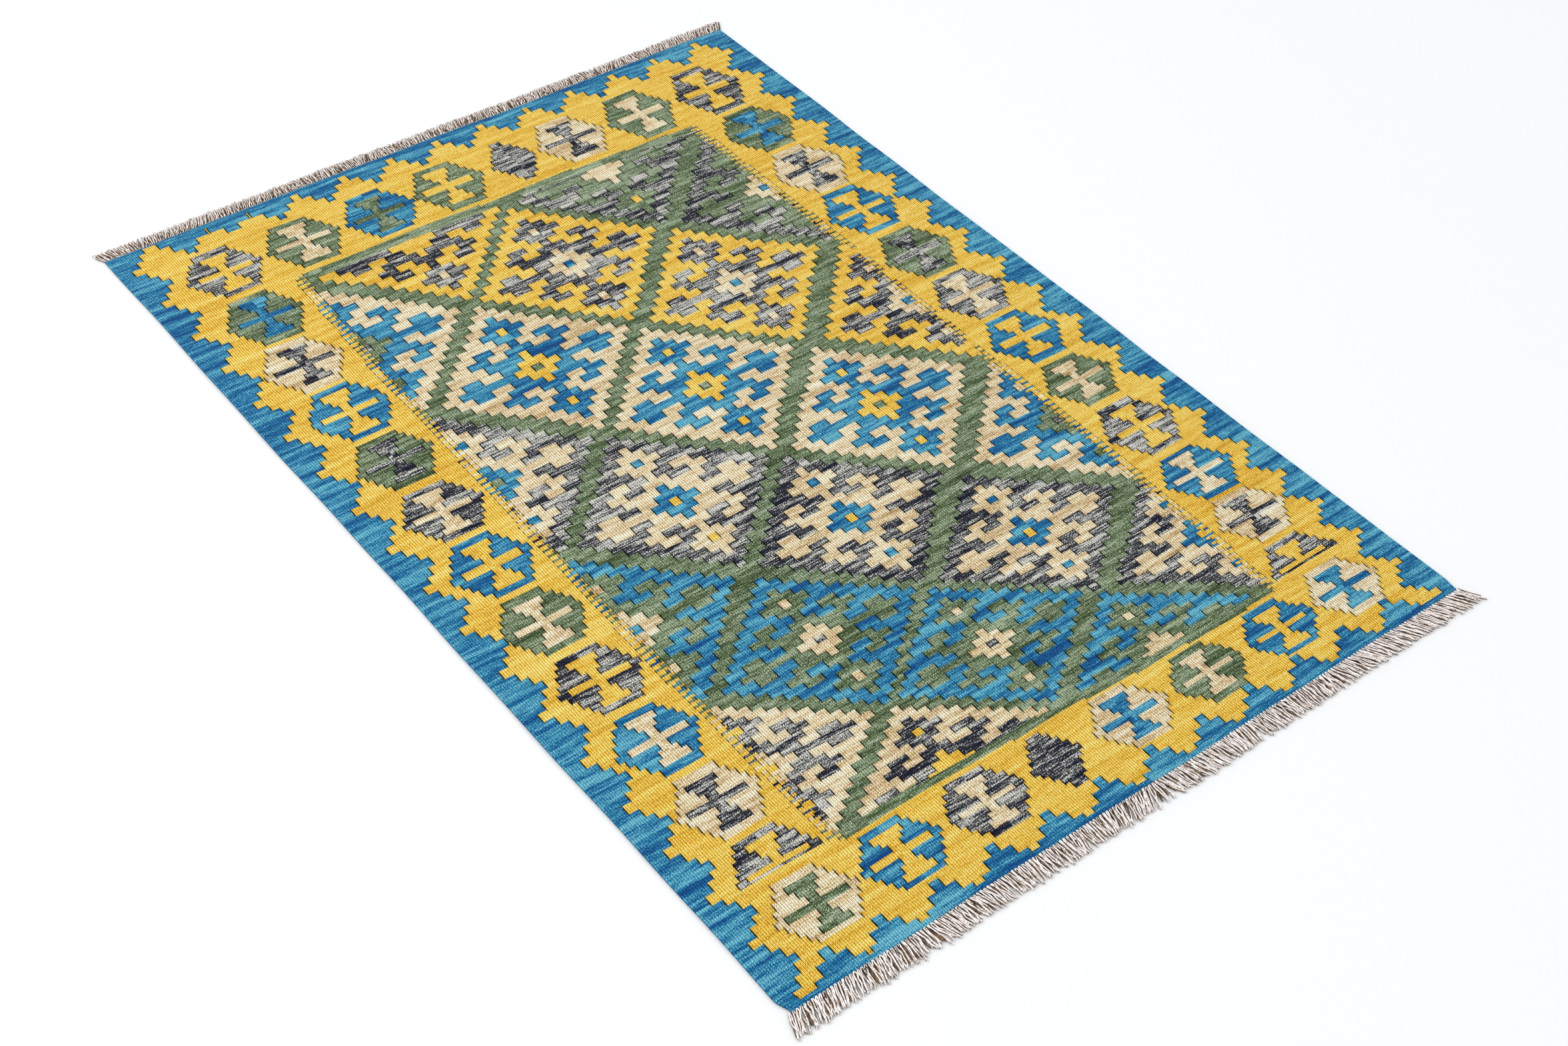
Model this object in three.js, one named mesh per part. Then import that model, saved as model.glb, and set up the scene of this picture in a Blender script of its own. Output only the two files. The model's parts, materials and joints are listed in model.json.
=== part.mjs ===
// A flat-woven wool kilim rug with a fringe at both ends, lying flat.
// Millimetres, +Z up. X runs across the rug, from its left long edge to its right one, and Y runs
// along its warps, from the near end to the far end. The underside lies at z = 0, and the origin
// is in the middle of the rug's box.
//
// The cloth is supple, and it is put away by folding. Each end folds in over the middle, and then
// the rug folds in half. The half fold goes round four layers, so it has a narrow strip of its own
// that stands upright when the rug is folded, with a hinge line along each side. The fold lines part
// the cloth into five panels. Every woven area is a solid of its own in each panel, and a fine gap
// keeps neighbouring solids apart.
import * as THREE from 'three';

// ---- driving dimensions ----
const CLOTH_WIDTH = 1040;
const CELLS_ACROSS = 77;                        // cells of the design from edge to edge
const CELL = CLOTH_WIDTH / CELLS_ACROSS;
const CLOTH_LENGTH = 1487;
const THICKNESS = 3.5;
const SEAM_GAP = 0.3;                           // between two solids that touch
const FOLD_GAP = 1.0;                           // between two panels at a fold line

const FOLD_OFFSET = 402;                        // from the middle of the cloth to each outer fold
const MIDDLE_FOLD = 18;                         // width of the strip that the half fold turns on

// Widths and depths below count cells of the design.
const SELVEDGE = 0.5;                           // the last cords of each long edge
const SIDE_TIP = 1.6;                           // where a gold tip comes nearest to the long edge
const SIDE_STEP = 0.9;                          // how far each of its steps goes in
const SIDE_TEETH = 18;                          // blue teeth along each long edge
const SIDE_PROFILE = [1, 2, 3, 2, 1, 0];        // steps in from a gold tip, row by row, for one tooth
const END_TEETH = 13;                           // teeth along each end
const END_TOOTH_PITCH = 5.6;
const END_ROWS = [0.75, 1.85, 2.9, 3.9];        // depths of the rows that step down at each end
const TIP_HALF_WIDTHS = [0.5, 1.5, 2.4];        // half width of a gold tooth in each of those rows
const CORNER_HALF_WIDTHS = [0.5, 2.4, 3.3];     // the same, on the side of a tooth that faces a corner
const FAR_BORDER = 13.0;                        // depth of the gold border at the far end
const NEAR_BORDER = 9.7;
const SIDE_BORDER = 13.9;                       // from a long edge to the field

// Fringe
const FAR_FRINGE = 29;
const NEAR_FRINGE = 36;
const FRINGE_THICKNESS = 3.0;
const FRINGE_HEADER = 4;                        // the looped heads, side by side against the cloth
const FRINGE_LOCKS = 78;                        // each is two of the looped yarns
const LOCK_SHARE = 0.75;                        // width of a lock in its pitch

const COLOURS = {
  gold: { color: '#d9a83c', roughness: 0.95 },
  blue: { color: '#1f6f9e', roughness: 0.95 },
  field: { color: '#6f7a5c', roughness: 0.95 },
  selvedge: { color: '#1a5f8c', roughness: 0.95 },
  fringe: { color: '#cfc4ba', roughness: 1.0 },
};

// ---- helpers ----
const halfWidth = CLOTH_WIDTH / 2;
const halfLength = CLOTH_LENGTH / 2;
const rug = new THREE.Group();
// The fringes differ in length, so the cloth sits off the middle of the box by half of that.
rug.position.y = (NEAR_FRINGE - FAR_FRINGE) / 2;

const materials = {};
for (const [name, look] of Object.entries(COLOURS)) {
  materials[name] = new THREE.MeshStandardMaterial({ ...look, metalness: 0 });
}

// Moves each side of a right-angled outline in by the given gap. The outline runs anticlockwise.
function inset(points, gap) {
  const corners = dropRepeats(points);
  return corners.map(([x, y], i) => {
    const [xa, ya] = corners.at(i - 1);
    const [xb, yb] = corners[(i + 1) % corners.length];
    const before = inwardNormal(x - xa, y - ya);
    const after = inwardNormal(xb - x, yb - y);
    return [x + gap * (before[0] + after[0]), y + gap * (before[1] + after[1])];
  });
}

function inwardNormal(dx, dy) {
  return [-Math.sign(dy), Math.sign(dx)];
}

// Drops points that repeat the last one, and points in the middle of a straight side.
function dropRepeats(points) {
  const same = (a, b) => Math.abs(a - b) < 1e-6;
  const apart = points.filter((p, i) => {
    const last = points.at(i - 1);
    return !(same(p[0], last[0]) && same(p[1], last[1]));
  });
  return apart.filter((p, i) => {
    const last = apart.at(i - 1);
    const next = apart[(i + 1) % apart.length];
    const upright = same(last[0], p[0]) && same(p[0], next[0]);
    const level = same(last[1], p[1]) && same(p[1], next[1]);
    return !upright && !level;
  });
}

function addSolid(name, outline, materialName, height = THICKNESS, gap = SEAM_GAP / 2) {
  const shape = new THREE.Shape(inset(outline, gap).map(([x, y]) => new THREE.Vector2(x, y)));
  const geometry = new THREE.ExtrudeGeometry(shape, { depth: height, bevelEnabled: false });
  const mesh = new THREE.Mesh(geometry, materials[materialName]);
  mesh.name = name;
  rug.add(mesh);
}

function rectangle(x0, x1, y0, y1) {
  return [[x0, y0], [x1, y0], [x1, y1], [x0, y1]];
}

// A mirror across X turns an anticlockwise outline round, so the order is turned back.
function mirrored(outline) {
  return outline.map(([x, y]) => [-x, y]).reverse();
}

// ---- where the areas of the design meet ----
const endDepth = END_ROWS.at(-1) * CELL;
const nearRow = -halfLength + endDepth;         // the side teeth start here
const farRow = halfLength - endDepth;
const sideRow = (farRow - nearRow) / (SIDE_TEETH * SIDE_PROFILE.length - 1);
const fieldNear = -halfLength + NEAR_BORDER * CELL;
const fieldFar = halfLength - FAR_BORDER * CELL;
const fieldLeft = -halfWidth + SIDE_BORDER * CELL;
const selvedgeLeft = -halfWidth + SELVEDGE * CELL;

// The stepped line between blue and gold along the left edge, going up from y0 to y1.
function sideSteps(y0, y1) {
  const points = [];
  const first = Math.floor((y0 - nearRow) / sideRow + 1e-6);
  const last = Math.ceil((y1 - nearRow) / sideRow - 1e-6);
  for (let row = first; row < last; row += 1) {
    const steps = SIDE_PROFILE[row % SIDE_PROFILE.length];
    const x = -halfWidth + (SIDE_TIP + SIDE_STEP * steps) * CELL;
    points.push([x, Math.max(y0, nearRow + row * sideRow)]);
    points.push([x, Math.min(y1, nearRow + (row + 1) * sideRow)]);
  }
  return points;
}

// The stepped line between blue and gold at the near end, going right.
function endSteps() {
  const level = (row) => -halfLength + END_ROWS[row] * CELL;
  const points = [];
  for (let tooth = 0; tooth < END_TEETH; tooth += 1) {
    const centre = (tooth - (END_TEETH - 1) / 2) * END_TOOTH_PITCH * CELL;
    const left = tooth === 0 ? CORNER_HALF_WIDTHS : TIP_HALF_WIDTHS;
    const right = tooth === END_TEETH - 1 ? CORNER_HALF_WIDTHS : TIP_HALF_WIDTHS;
    for (let row = 2; row >= 0; row -= 1) {
      const x = centre - left[row] * CELL;
      points.push([x, level(row + 1)], [x, level(row)]);
    }
    for (let row = 0; row <= 2; row += 1) {
      const x = centre + right[row] * CELL;
      points.push([x, level(row)], [x, level(row + 1)]);
    }
  }
  return points;
}

// ---- one panel's share of the long edges, the side borders and the field ----
function addSides(panel, y0, y1) {
  const borderBottom = Math.max(y0, fieldNear);
  const borderTop = Math.min(y1, fieldFar);
  const guardBottom = Math.max(y0, nearRow);
  const guardTop = Math.min(y1, farRow);

  const selvedge = rectangle(-halfWidth, selvedgeLeft, guardBottom, guardTop);
  const guard = [
    [selvedgeLeft, guardTop],
    [selvedgeLeft, guardBottom],
    ...sideSteps(guardBottom, guardTop),
  ];
  const border = [
    [fieldLeft, borderBottom],
    [fieldLeft, borderTop],
    ...sideSteps(borderBottom, borderTop).reverse(),
  ];
  for (const [side, place] of [['left', (outline) => outline], ['right', mirrored]]) {
    addSolid(`selvedge_${side}_${panel}`, place(selvedge), 'selvedge');
    addSolid(`blue_guard_${side}_${panel}`, place(guard), 'blue');
    addSolid(`gold_border_${side}_${panel}`, place(border), 'gold');
  }
  addSolid(`field_${panel}`, rectangle(fieldLeft, -fieldLeft, borderBottom, borderTop), 'field');
}

// ---- the guard and the border across one end; the far end is the near one turned over in Y ----
function addEnd(end, borderDepth) {
  const steps = endSteps();
  const innerEdge = -halfLength + borderDepth * CELL;
  const leftSteps = sideSteps(nearRow, innerEdge);
  const rightSteps = leftSteps.map(([x, y]) => [-x, y]);
  const guard = [
    [-halfWidth, -halfLength],
    [halfWidth, -halfLength],
    [halfWidth, nearRow],
    ...steps.toReversed(),
    [-halfWidth, nearRow],
  ];
  const border = [...steps, ...rightSteps, ...leftSteps.toReversed()];
  addSolid(`blue_guard_${end}`, placeAtEnd(guard, end), 'blue');
  addSolid(`gold_border_${end}`, placeAtEnd(border, end), 'gold');
}

function placeAtEnd(outline, end) {
  return end === 'near' ? outline : outline.map(([x, y]) => [x, -y]).reverse();
}

// ---- the fringe: looped heads in a row, and the locks of yarn that hang from them ----
function addFringe(end, length) {
  const pitch = CLOTH_WIDTH / FRINGE_LOCKS;
  const tips = [];
  for (let lock = 0; lock < FRINGE_LOCKS; lock += 1) {
    const centre = -halfWidth + (lock + 0.5) * pitch;
    const half = 0.5 * LOCK_SHARE * pitch;
    const header = -halfLength - FRINGE_HEADER;
    tips.push([centre - half, header], [centre - half, -halfLength - length]);
    tips.push([centre + half, -halfLength - length], [centre + half, header]);
  }
  const outline = [
    [-halfWidth, -halfLength],
    [-halfWidth, -halfLength - FRINGE_HEADER],
    ...tips,
    [halfWidth, -halfLength - FRINGE_HEADER],
    [halfWidth, -halfLength],
  ];
  addSolid(`fringe_${end}`, placeAtEnd(outline, end), 'fringe', FRINGE_THICKNESS);
}

// ---- the rug ----
const edge = FOLD_GAP / 2;
const panels = [
  ['near_end', -halfLength, -FOLD_OFFSET - edge],
  ['near_middle', -FOLD_OFFSET + edge, -MIDDLE_FOLD / 2 - edge],
  ['middle_fold', -MIDDLE_FOLD / 2 + edge, MIDDLE_FOLD / 2 - edge],
  ['far_middle', MIDDLE_FOLD / 2 + edge, FOLD_OFFSET - edge],
  ['far_end', FOLD_OFFSET + edge, halfLength],
];
for (const [panel, y0, y1] of panels) {
  addSides(panel, y0, y1);
}
addEnd('near', NEAR_BORDER);
addEnd('far', FAR_BORDER);
addFringe('near', NEAR_FRINGE);
addFringe('far', FAR_FRINGE);

export default rug;
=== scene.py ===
# %% [markdown]
# # A kilim rug with a fringe
#
# A kilim is woven flat: coloured wool wefts are packed so tightly over the warps that only the wefts
# show, and each warp stands up under them as a fine rib. Where two colours meet along a warp, neither
# weft crosses over, and a narrow slit is left. The warps hang out at both ends as the fringe.
#
# This notebook builds the rug in the order in which a weaver would think of it: the size and the
# fold lines, the chart of the design, the ribbed cloth, the wool, and last the fringe.

# %% Load the frame
import json
import math

import bpy
import numpy as np
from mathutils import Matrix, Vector


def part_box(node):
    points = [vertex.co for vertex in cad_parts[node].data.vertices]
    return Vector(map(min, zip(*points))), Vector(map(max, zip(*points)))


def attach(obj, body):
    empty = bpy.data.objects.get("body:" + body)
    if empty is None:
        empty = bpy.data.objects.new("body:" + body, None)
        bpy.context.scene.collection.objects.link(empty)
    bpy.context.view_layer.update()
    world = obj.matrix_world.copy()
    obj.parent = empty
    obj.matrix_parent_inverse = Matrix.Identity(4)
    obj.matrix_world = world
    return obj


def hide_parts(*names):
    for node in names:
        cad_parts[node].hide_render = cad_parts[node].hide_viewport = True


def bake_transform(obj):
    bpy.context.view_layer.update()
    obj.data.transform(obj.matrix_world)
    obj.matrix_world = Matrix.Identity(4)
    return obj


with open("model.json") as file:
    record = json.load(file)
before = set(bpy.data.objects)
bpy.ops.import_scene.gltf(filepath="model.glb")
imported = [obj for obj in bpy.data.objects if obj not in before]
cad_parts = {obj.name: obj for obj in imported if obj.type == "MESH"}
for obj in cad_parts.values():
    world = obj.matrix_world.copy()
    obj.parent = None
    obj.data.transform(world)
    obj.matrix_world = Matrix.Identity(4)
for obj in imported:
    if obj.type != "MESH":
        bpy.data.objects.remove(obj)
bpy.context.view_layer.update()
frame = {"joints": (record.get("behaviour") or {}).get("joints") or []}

# %% [markdown]
# ## Sizes
#
# Everything is placed from the frame's own solids. The design is counted in cells, as on squared
# paper: 77 cells from one long edge to the other, and four warps to a cell. Rows are counted in the
# same unit, down from the far end. Keeping one unit for both makes a hand-drawn chart easy to read.

# %% Sizes from the frame
SEAM = 0.00015  # half of the gap between two neighbouring solids
near_guard_low, near_guard_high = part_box("blue_guard_near")
far_guard_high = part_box("blue_guard_far")[1]

CLOTH_LEFT = near_guard_low.x - SEAM
CLOTH_RIGHT = near_guard_high.x + SEAM
CLOTH_NEAR = near_guard_low.y - SEAM
CLOTH_FAR = far_guard_high.y + SEAM
CLOTH_WIDTH = CLOTH_RIGHT - CLOTH_LEFT
CLOTH_LENGTH = CLOTH_FAR - CLOTH_NEAR

CELLS_ACROSS = 77
CELL = CLOTH_WIDTH / CELLS_ACROSS
ROWS_LONG = CLOTH_LENGTH / CELL  # the length, counted in cells
WARPS = 312
WARP_PITCH = CLOTH_WIDTH / WARPS
BEAD_PITCH = 0.0016  # from one weft to the next along a warp

joints = {joint["name"]: joint for joint in frame["joints"]}
NEAR_FOLD = joints["near_fold"]["pos_m"][1]
FAR_FOLD = joints["far_fold"]["pos_m"][1]
STRIP_NEAR = joints["half_fold_near_side"]["pos_m"][1]
STRIP_FAR = joints["half_fold_far_side"]["pos_m"][1]
STRIP_MIDDLE = (STRIP_NEAR + STRIP_FAR) / 2
PLAIN_ROWS = 440  # rows of the mesh on cloth that never folds
PICK = ROWS_LONG / PLAIN_ROWS  # the height of such a row, in cells
print("cloth", round(CLOTH_WIDTH, 3), "x", round(CLOTH_LENGTH, 3), "m; cells of", round(CELL * 1000, 2), "mm")

# %% [markdown]
# ## Camera
#
# A short telephoto lens looks down on the rug from beyond its near left corner, turned a little
# about its own axis. The camera is set first, so that every later render shows the same view.

# %% Camera
CAMERA_PLACE = Vector((-1.4596, -1.7563, 2.0204))
CAMERA_AIM = Vector((-0.0795, -0.1761, 0.0))
CAMERA_ROLL = math.radians(4.216)
LENS = 54.58

camera_data = bpy.data.cameras.new("camera")
camera_data.lens = LENS
camera_data.sensor_width = 36.0
camera = bpy.data.objects.new("camera", camera_data)
bpy.context.scene.collection.objects.link(camera)
camera.location = CAMERA_PLACE
camera.rotation_euler = (CAMERA_AIM - CAMERA_PLACE).to_track_quat("-Z", "Y").to_euler()
camera.rotation_euler.rotate_axis("Z", CAMERA_ROLL)
bpy.context.scene.camera = camera

# %% [markdown]
# ## Light and floor
#
# One large soft lamp stands high on the left and a pale world fills the rest. Wool is matt, so the
# light only has to rake enough to show the ribs. The floor is plain and nearly white, and it lies a
# hair below the rug, so that the two never share a plane.

# %% Light and floor
scene = bpy.context.scene
scene.view_settings.view_transform = "Standard"

world = bpy.data.worlds.new("studio")
scene.world = world
world.use_nodes = True
world.node_tree.nodes["Background"].inputs["Color"].default_value = (0.95, 0.97, 1.0, 1.0)
world.node_tree.nodes["Background"].inputs["Strength"].default_value = 1.15

LAMP_PLACE = Vector((-2.4, 1.2, 2.6))
lamp_data = bpy.data.lights.new("key_lamp", "AREA")
lamp_data.shape = "DISK"
lamp_data.size = 1.6
lamp_data.energy = 34
lamp = bpy.data.objects.new("key_lamp", lamp_data)
scene.collection.objects.link(lamp)
lamp.location = LAMP_PLACE
lamp.rotation_euler = (-LAMP_PLACE).to_track_quat("-Z", "Y").to_euler()

FLOOR_DROP = 0.0004
bpy.ops.mesh.primitive_plane_add(size=60, location=(0, 0, -FLOOR_DROP))
floor = bpy.context.object
floor.name = "floor"
floor_paint = bpy.data.materials.new("floor_paint")
floor_paint.use_nodes = True
floor_shader = floor_paint.node_tree.nodes["Principled BSDF"]
floor_shader.inputs["Base Color"].default_value = (0.80, 0.80, 0.79, 1.0)
floor_shader.inputs["Roughness"].default_value = 0.9
floor.data.materials.append(floor_paint)

# %% [markdown]
# ## The chart
#
# The design is read for every warp and every short row of the mesh, and the answer is one of five
# wools. It could be painted as a picture, but a chart written as small rules stays sharp at any
# scale, and each rule says what the weaver counted: steps, half widths and rows.
#
# The rows of a handmade rug drift as the weaver beats them closer, so places along the rug are
# given at a few rows and filled in between.

# %% The wools, and a reader that fills in between given places
GOLD, BLUE, GREEN, CREAM, GREY = range(5)
WOOLS = {"gold": GOLD, "blue": BLUE, "green": GREEN, "cream": CREAM, "grey": GREY}

# Every motif has a skein number of its own, counted on from one of these.
LATTICE_SKEIN = 3
FIRST_MEDALLION_SKEIN = 20
FIRST_DIAMOND_SKEIN = 80
FIRST_GUARD_SKEIN = 200
GROUND_ROWS_PER_SKEIN = 8.5
GUARD_ROWS_PER_SKEIN = 5.8


def between(value, places, results):
    """np.interp that runs on at the same slope beyond its ends."""
    value = np.asarray(value, float)
    answer = np.interp(value, places, results)
    low_slope = (results[1] - results[0]) / (places[1] - places[0])
    high_slope = (results[-1] - results[-2]) / (places[-1] - places[-2])
    answer = np.where(value < places[0], results[0] + (value - places[0]) * low_slope, answer)
    return np.where(value > places[-1], results[-1] + (value - places[-1]) * high_slope, answer)


# %% [markdown]
# ### The blue guard
#
# Along each long edge the gold border meets the blue guard in a stepped zigzag: one step out at a
# gold tip, three steps in at a blue tooth. The teeth get shorter towards the near end. The two ends
# have teeth of four rows, and the corners need no rule of their own, because the side zigzag runs
# on past them.

# %% Guard teeth
TIP_INSET = 1.55  # from the long edge to a gold tip, in cells
STEP_IN = 0.83
ROWS_PER_TOOTH = 6
LEFT_TIPS = ((3.4, 87.4, 109.2), (0, 14, 18))  # rows of some gold tips, and which tip each is
RIGHT_TIPS = ((4.2, 85.3, 109.3), (0, 14, 19))


def side_inset(row, tips):
    """How far the blue guard reaches in from its long edge at a row."""
    phase = between(row, *tips) * ROWS_PER_TOOTH
    step = np.mod(np.round(phase), ROWS_PER_TOOTH)
    return TIP_INSET + STEP_IN * np.minimum(step, ROWS_PER_TOOTH - step)


FAR_TIPS = ((5.0, 10.75, 15.4, 38.0, 72.5), (0, 1, 2, 6, 12))
FAR_ROWS = ((0.75, 0.47), (1.8, 1.5), (2.87, 2.42), (3.87, 9.0))  # (depth, half width of the gold)
NEAR_TEETH = ((5.9, 11.2, 17.0, 70.2), (0, 1, 2, 11))
NEAR_ROWS = ((0.45, 2.4), (1.1, 1.5), (2.0, 0.5), (2.95, 0.0))  # (depth, half width of the blue)
THIN_TIPS = (1, 2)  # two far tips are only two warps wide
THIN_HALF_WIDTH = 0.22
FIRST_TIP_RISE = 0.5  # the first far tooth stands higher
FIRST_TIP_END = 10.0  # where that rise ends, in cells from the left
FIRST_TIP_EASE = 4.0


def nearest(places, counts, x):
    """(distance to the nearest tooth's centre, its number), for teeth numbered along x."""
    number = np.clip(np.round(between(x, places, counts)), counts[0], counts[-1])
    centre = np.interp(number, counts, places)
    return np.abs(x - centre), number


def far_guard(x, row):
    """True where the far end's guard is blue."""
    away, number = nearest(*FAR_TIPS, x)
    depth = row + FIRST_TIP_RISE * np.clip((FIRST_TIP_END - x) / FIRST_TIP_EASE, 0, 1)
    half = np.zeros_like(x)
    for level, half_width in FAR_ROWS:
        half = np.where(depth >= level, half_width, half)
    thin = np.isin(number, THIN_TIPS) & (depth < FAR_ROWS[1][0])
    half = np.where(thin, np.minimum(half, THIN_HALF_WIDTH), half)
    outside = (x < FAR_TIPS[0][0]) | (x > FAR_TIPS[0][-1])
    return np.where(outside, depth < FAR_ROWS[0][0], away > half)


def near_guard(x, row):
    """True where the near end's guard is blue."""
    away, _ = nearest(*NEAR_TEETH, x)
    depth = ROWS_LONG - row
    half = np.full_like(x, CELLS_ACROSS)  # before the first row of gold all is blue
    for level, half_width in NEAR_ROWS:
        half = np.where(depth >= level, half_width, half)
    return away < half


# %% [markdown]
# ### The hexagon medallions
#
# Each medallion has nine rows. Its outline widens by half a cell a row to the middle and narrows
# again, and inside it stands a figure like two wine cups foot to foot on a bar. Each medallion has
# its middle, its first and last row, and its two wools, which are the same down both sides.

# %% Medallions
OUTLINE = (2.05, 2.6, 3.1, 3.6, 4.05, 3.6, 3.1, 2.6, 2.05)  # half widths, row by row
FIGURE = (0.0, 1.5, 1.0, 0.5, 3.0, 0.5, 1.0, 1.5, 0.0)
PLAIN_DIAMOND = (0.7, 1.2, 1.7, 2.2, 2.65, 2.2, 1.7, 1.2, 0.7)
MEDALLION_ROWS = len(OUTLINE)
HALF_MEDALLION_ROWS = 5
CLOSING_PICK = 0.3  # a half medallion is closed by a single dark pick

FAR_MEDALLIONS = (
    (9.1, 4.3, 11.8, "grey gold"), (17.9, 4.4, 12.0, "green cream"), (26.7, 4.6, 12.1, "blue green"),
    (35.1, 4.4, 12.2, "green gold"), (43.1, 4.6, 12.0, "grey plain"), (50.5, 4.6, 12.3, "cream grey"),
    (59.4, 4.6, 12.9, "green cream"), (68.4, 4.8, 13.4, "grey gold"),
)
SIDE_WOOLS = ("green blue", "cream grey", "blue gold", "green grey", "grey cream", "blue gold",
              "green cream", "grey gold", "blue cream", "cream grey", "grey gold half")
LEFT_PLACES = (
    (8.8, 12.7, 20.5), (8.3, 21.1, 28.7), (8.4, 29.2, 37.1), (8.3, 37.7, 45.1), (8.2, 46.0, 53.3),
    (8.1, 54.0, 61.6), (7.9, 62.4, 69.8), (8.0, 70.8, 78.1), (8.1, 79.0, 86.2), (8.2, 87.2, 94.3),
    (8.3, 95.1, 102.3),
)
RIGHT_PLACES = (
    (68.6, 14.2, 22.2), (68.6, 23.0, 31.2), (68.5, 31.9, 39.9), (68.7, 40.9, 48.8), (68.7, 49.6, 56.8),
    (68.7, 57.6, 65.0), (68.7, 65.8, 72.7), (68.8, 73.9, 81.4), (68.7, 82.2, 88.8), (68.7, 89.3, 95.5),
    (68.2, 96.3, 102.8),
)
SIDE_MEDALLIONS = tuple((*place, wools) for places in (LEFT_PLACES, RIGHT_PLACES)
                        for place, wools in zip(places, SIDE_WOOLS))
NEAR_MEDALLIONS = (
    (8.3, 100.2, 106.7, "cream green"), (16.9, 100.3, 106.7, "blue gold"),
    (25.9, 100.4, 106.8, "grey cream"), (33.6, 100.5, 106.8, "grey plain"),
    (42.0, 100.7, 106.9, "cream blue"), (51.1, 101.1, 107.0, "green cream"),
    (60.2, 101.2, 106.9, "blue gold"), (68.7, 100.9, 107.0, "cream blue"),
)
MEDALLIONS = FAR_MEDALLIONS + SIDE_MEDALLIONS + NEAR_MEDALLIONS
print(len(MEDALLIONS), "medallions in the border")


def lay_medallion(wool, skein, x, row, number):
    """Writes one medallion into the chart."""
    middle, first, last, words = MEDALLIONS[number]
    names = words.split()
    across = x - middle
    exact = (row - first) / (last - first) * MEDALLION_ROWS
    count = np.floor(exact).astype(int)
    rows_woven = HALF_MEDALLION_ROWS if "half" in names else MEDALLION_ROWS
    inside = (count >= 0) & (count < rows_woven)
    count = np.clip(count, 0, MEDALLION_ROWS - 1)
    outline = np.array(PLAIN_DIAMOND if "plain" in names else OUTLINE)[count]
    figure = np.array(FIGURE)[count]
    body = inside & (np.abs(across) < outline)
    wool[body] = WOOLS[names[0]]
    if "plain" not in names:
        in_figure = inside & (np.abs(across) < figure)
        if "half" in names:
            in_figure = in_figure & (exact < rows_woven - CLOSING_PICK)
        wool[in_figure] = WOOLS[names[1]]
    skein[body] = FIRST_MEDALLION_SKEIN + number + 0.5 * (across[body] > 0)


# %% [markdown]
# ### The lattice of diamonds
#
# The field is one lattice: diamonds of 21 rows, and a green band two cells wide between them. One
# chart serves all of them, because a diamond is the same in its four quarters. The chart's lines
# run outwards from the middle row, and its letters run outwards from the middle warp: Centre, Star,
# Motif, Ground and Eye. Each diamond then has only a line that says which wool stands for which.

# %% The diamond chart
QUARTER_CHART = (
    "CSSMMMMMMGG",
    "SSMMGGMMGG",
    "SMMMMGGGG",
    "MMGGMMGG",
    "MGGMMGG",
    "MMGGGG",
    "EMMGG",
    "MMGG",
    "MGG",
    "GG",
    "G",
)
CHART_LETTERS = "GMSCEF"  # F is the lower eye
DIAMOND_REACH = len(QUARTER_CHART) - 1

# (column, line): ground, motif, star, centre, upper eye, lower eye
DIAMONDS = {
    (0, 1): "cream blue green grey green green",
    (0, 3): "grey cream blue green blue blue",
    (0, 5): "blue green cream blue cream cream",
    (0, 7): "cream grey cream gold gold gold",
    (1, 0): "gold grey gold gold cream cream",
    (1, 2): "cream blue gold green gold gold",
    (1, 4): "grey cream blue gold blue gold",
    (1, 6): "blue green cream grey cream cream",
    (1, 8): "cream grey gold gold gold gold",
    (2, 1): "gold grey cream blue cream cream",
    (2, 3): "cream blue gold green gold gold",
    (2, 5): "grey cream blue gold blue blue",
    (2, 7): "blue green cream grey cream cream",
    (3, 0): "grey green cream cream gold gold",
    (3, 2): "gold grey cream blue cream cream",
    (3, 4): "cream blue gold green gold gold",
    (3, 6): "grey cream blue gold blue blue",
    (3, 8): "blue green cream cream cream cream",
    (4, 1): "grey green cream blue green green",
    (4, 3): "gold grey cream blue cream cream",
    (4, 5): "cream blue green grey cream green",
    (4, 7): "grey cream blue gold blue blue",
}
CELLS_BETWEEN_COLUMNS = 12.0
ROWS_BETWEEN_LINES = 11.25

# Where the columns and lines of diamonds lie on the cloth, at a few rows.
COLUMN_ROWS = (14.0, 26.0, 49.0, 72.0, 91.0)
COLUMN_PLACES = (
    (14.6, 14.4, 14.2, 13.9, 13.8),
    (26.75, 26.5, 26.3, 26.1, 26.2),
    (38.3, 38.1, 38.0, 37.9, 38.0),
    (50.0, 50.0, 50.1, 50.1, 50.1),
    (62.4, 62.4, 62.8, 63.0, 63.0),
)
LINE_PLACES = (14.45, 26.2, 37.7, 49.3, 60.5, 71.5, 81.7, 90.7, 99.2)
LINE_DROP = ((38.0, 50.0, 63.0), (0.0, 0.6, 0.9))  # the lines sink towards the right edge
MIDDLE_PLACE = 2
DIAMOND_WIDTH = COLUMN_PLACES[-1][MIDDLE_PLACE] - COLUMN_PLACES[0][MIDDLE_PLACE]
DIAMOND_CELL = DIAMOND_WIDTH / (len(COLUMN_PLACES) - 1) / CELLS_BETWEEN_COLUMNS
print(len(DIAMONDS), "diamonds in the field, in cells", round(DIAMOND_CELL, 3), "wide")


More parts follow.
